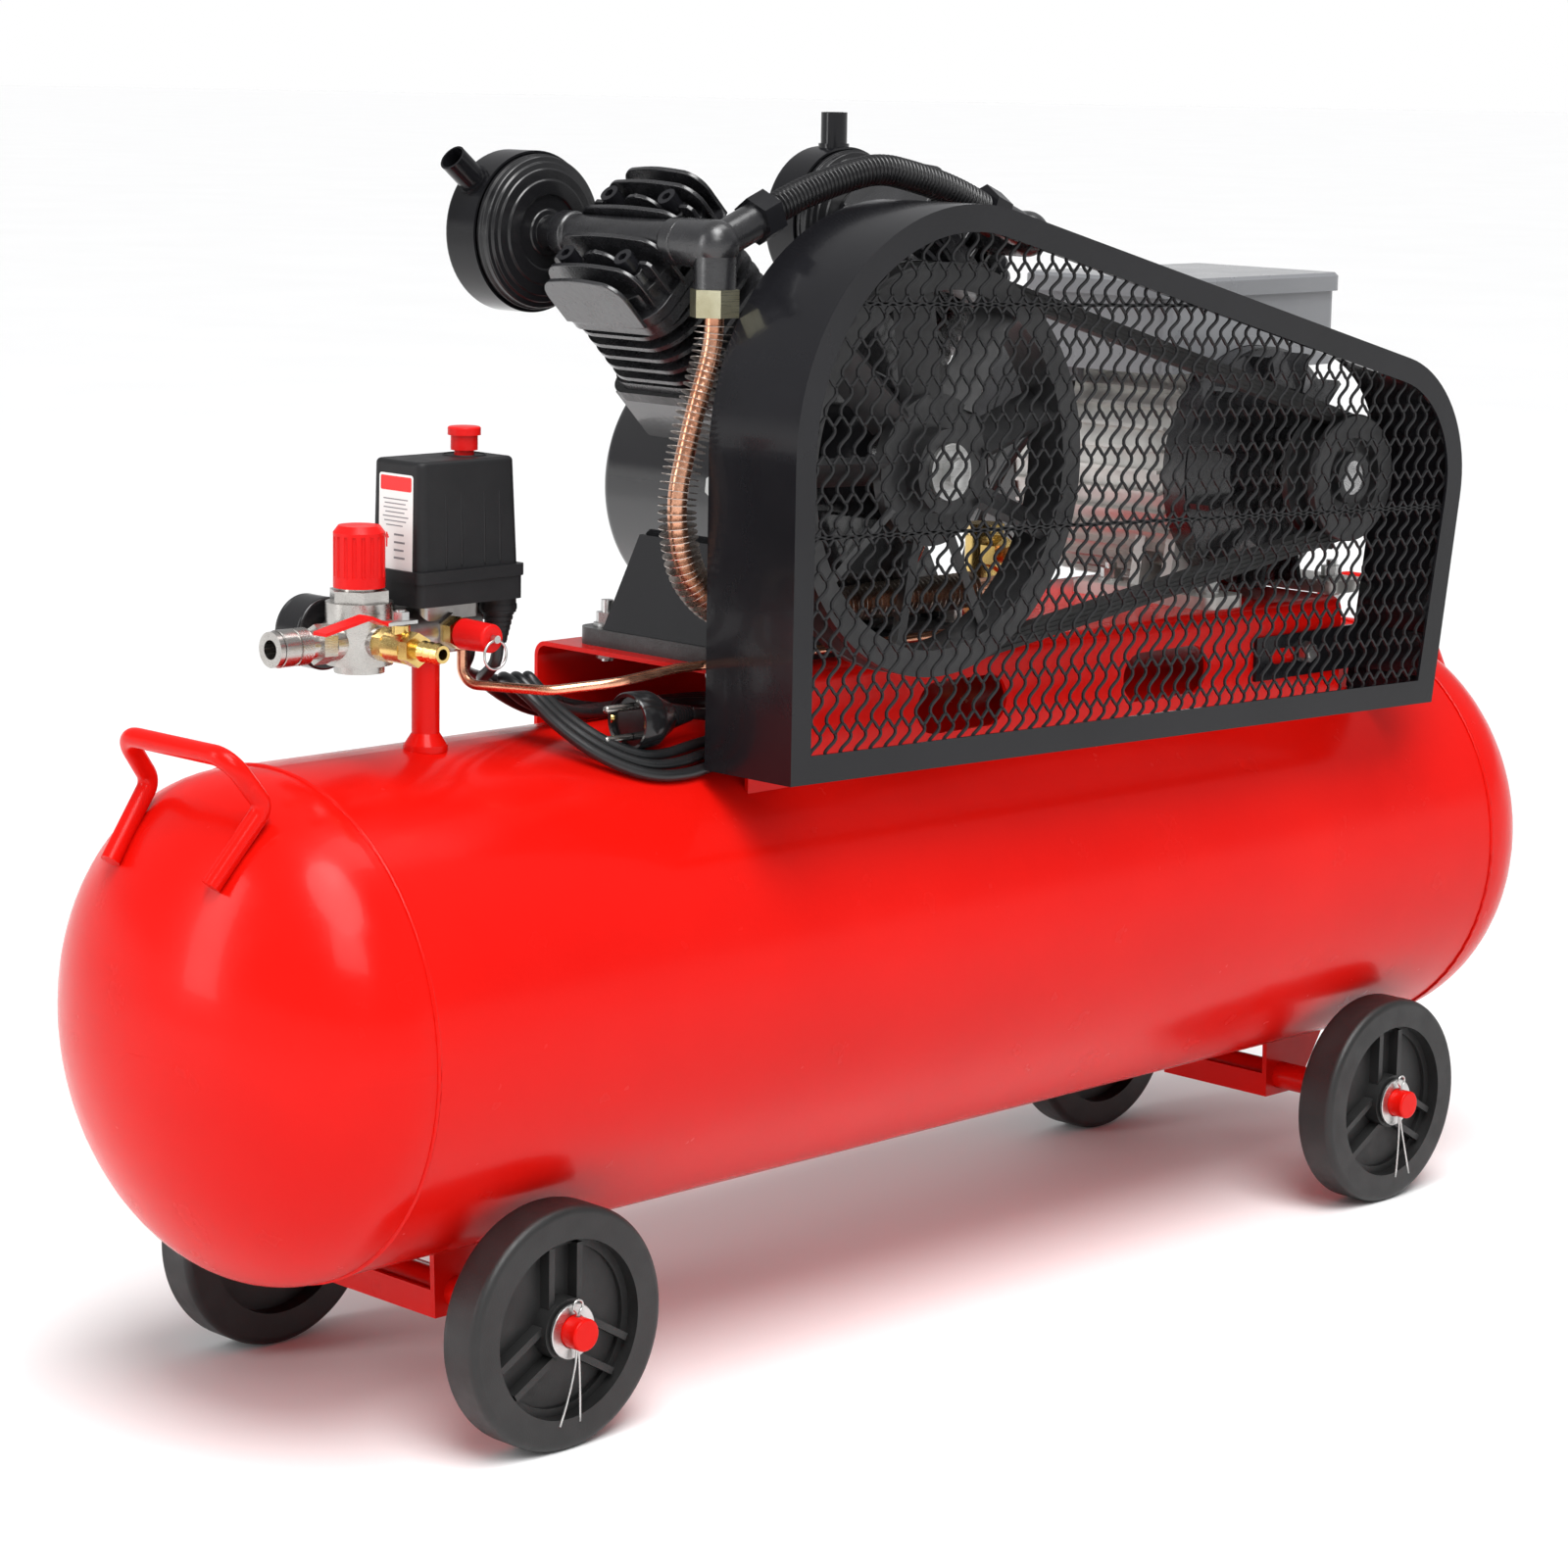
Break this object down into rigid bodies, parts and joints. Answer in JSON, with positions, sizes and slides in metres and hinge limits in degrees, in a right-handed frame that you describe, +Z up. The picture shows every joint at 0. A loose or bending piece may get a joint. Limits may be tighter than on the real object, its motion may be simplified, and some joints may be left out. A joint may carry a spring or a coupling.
{
  "type": "twin stack compressor",
  "caption": "Belt-driven V-twin air compressor on a wheeled horizontal tank, with belt guard, pressure switch and regulator.",
  "frame": {"origin": "on the floor, under the middle of the tank", "axes": "+X along the tank towards the motor end, -Y towards the belt guard, +Z up"},
  "size_m": [1.216, 0.336, 0.7794],
  "materials": {
    "red_paint": "glossy powder coat",
    "black_paint": "semi-gloss enamel",
    "grey_paint": "semi-gloss enamel",
    "pump_casting": "black painted casting",
    "cylinder_iron": "rough casting painted black",
    "head_alloy": "as-cast",
    "motor_alloy": "as-cast",
    "rotor_steel": "turned",
    "bearing_steel": "ground",
    "zinc_steel": "zinc plated",
    "copper": "drawn copper",
    "brass_fitting": "turned brass",
    "nickel": "nickel plated",
    "hose_rubber": "corrugated",
    "belt_rubber": "fabric-covered",
    "black_plastic": "moulded, fine grain",
    "red_plastic": "moulded",
    "wheel_rubber": "moulded",
    "cord_sheath": "satin",
    "head_paint": "gloss black over a finned aluminium casting",
    "gauge_black": "glossy",
    "gauge_dial": "printed",
    "mesh_steel": "painted expanded sheet"
  },
  "bodies": {
    "frame": {"tank_shell": "red_paint", "tank_heads": "red_paint", "carry_handles": "red_paint", "axle_brackets": "red_paint", "axles": "red_paint", "axle_hardware": "zinc_steel", "pump_platform": "red_paint", "riser_pipe": "red_paint", "drain_valve": "brass_fitting", "switch_manifold": "head_alloy", "switch_base": "black_plastic", "switch_cover": "black_plastic", "regulator_body": "nickel", "coupler_body": "nickel", "ball_valve_body": "brass_fitting", "gauge_cases": "gauge_black", "safety_valve": "brass_fitting", "unloader_pipe": "copper", "check_valve": "brass_fitting", "delivery_pipe": "copper", "discharge_fittings": "black_paint", "crossover_hose": "hose_rubber", "crankcase": "pump_casting", "cylinder_left": "cylinder_iron", "cylinder_right": "cylinder_iron", "head_left": "head_paint", "head_right": "head_paint", "head_bolts": "black_paint", "filter_cans": "black_paint", "filter_backs": "black_plastic", "shaft_bearings": "bearing_steel", "motor_stator": "motor_alloy", "motor_bells": "black_paint", "terminal_box": "grey_paint", "fasteners_and_plugs": "zinc_steel", "drive_belt": "belt_rubber", "guard_frame": "black_paint", "guard_mesh": "mesh_steel", "power_cord": "cord_sheath", "cord_hank": "cord_sheath", "power_plug": "black_plastic", "motor_cable": "cord_sheath"},
    "front_left_wheel": {"wheel_front_left": "wheel_rubber"},
    "rear_left_wheel": {"wheel_rear_left": "wheel_rubber"},
    "front_right_wheel": {"wheel_front_right": "wheel_rubber"},
    "rear_right_wheel": {"wheel_rear_right": "wheel_rubber"},
    "crank": {"crankshaft": "rotor_steel", "flywheel": "black_paint"},
    "rotor": {"motor_rotor": "rotor_steel", "motor_pulley": "cylinder_iron"},
    "left_piston": {"piston_left": "head_alloy"},
    "right_piston": {"piston_right": "head_alloy"},
    "pressure_switch_knob": {"switch_knob": "red_plastic"},
    "regulator_cap": {"regulator_knob": "red_plastic"},
    "sleeve": {"coupler_sleeve": "nickel"},
    "lever": {"ball_valve_lever": "red_plastic"},
    "tank_needle": {"gauge_needle_tank": "red_plastic"},
    "outlet_needle": {"gauge_needle_outlet": "red_plastic"},
    "pull_ring": {"safety_ring": "zinc_steel"},
    "drain_screw": {"drain_knob": "brass_fitting"}
  },
  "joints": [
    {"name": "front_left_wheel_spin", "type": "hinge", "parent": "frame", "child": "front_left_wheel", "pos_m": [-0.402, -0.137, 0.075], "axis": [0, 1, 0], "continuous": true},
    {"name": "rear_left_wheel_spin", "type": "hinge", "parent": "frame", "child": "rear_left_wheel", "pos_m": [-0.402, 0.137, 0.075], "axis": [0, 1, 0], "continuous": true},
    {"name": "front_right_wheel_spin", "type": "hinge", "parent": "frame", "child": "front_right_wheel", "pos_m": [0.402, -0.137, 0.075], "axis": [0, 1, 0], "continuous": true},
    {"name": "rear_right_wheel_spin", "type": "hinge", "parent": "frame", "child": "rear_right_wheel", "pos_m": [0.402, 0.137, 0.075], "axis": [0, 1, 0], "continuous": true},
    {"name": "crank_spin", "type": "hinge", "parent": "frame", "child": "crank", "pos_m": [-0.084, -0.127, 0.564], "axis": [0, 1, 0], "continuous": true},
    {"name": "motor_spin", "type": "hinge", "parent": "frame", "child": "rotor", "pos_m": [0.338, -0.127, 0.533], "axis": [0, 1, 0], "continuous": true},
    {"name": "left_piston_stroke", "type": "slide", "parent": "frame", "child": "left_piston", "axis": [-0.7071, 0, 0.7071], "range_m": [-0.0365, 0.0075]},
    {"name": "right_piston_stroke", "type": "slide", "parent": "frame", "child": "right_piston", "axis": [0.7071, 0, 0.7071], "range_m": [-0.0365, 0.0075]},
    {"name": "switch_pull", "type": "slide", "parent": "frame", "child": "pressure_switch_knob", "axis": [0, 0, 1], "range_m": [0, 0.008]},
    {"name": "pressure_adjust", "type": "hinge", "parent": "frame", "child": "regulator_cap", "pos_m": [-0.449, -0.014, 0.525], "axis": [0, 0, 1], "range_deg": [0, 720]},
    {"name": "coupler_release", "type": "slide", "parent": "frame", "child": "sleeve", "axis": [1, 0, 0], "range_m": [0, 0.004], "stiffness_N_per_m": 600, "springref_m": -0.004},
    {"name": "outlet_valve_turn", "type": "hinge", "parent": "frame", "child": "lever", "pos_m": [-0.449, -0.0521, 0.49], "axis": [0, 0, 1], "range_deg": [0, 90]},
    {"name": "tank_pressure_needle", "type": "hinge", "parent": "frame", "child": "tank_needle", "pos_m": [-0.396, 0.0324, 0.476], "axis": [0, 1, 0], "range_deg": [-270, 0]},
    {"name": "outlet_pressure_needle", "type": "hinge", "parent": "frame", "child": "outlet_needle", "pos_m": [-0.449, 0.0324, 0.476], "axis": [0, 1, 0], "range_deg": [-270, 0]},
    {"name": "safety_release", "type": "slide", "parent": "frame", "child": "pull_ring", "axis": [0, -1, 0], "range_m": [0, 0.003], "stiffness_N_per_m": 800, "springref_m": -0.003},
    {"name": "drain_turn", "type": "hinge", "parent": "frame", "child": "drain_screw", "pos_m": [-0.265, 0, 0.063], "axis": [0, 0, 1], "range_deg": [0, 360]}
  ],
  "couplings": [
    {"joint": "motor_spin", "follows": "crank_spin", "ratio": 2.9213}
  ]
}
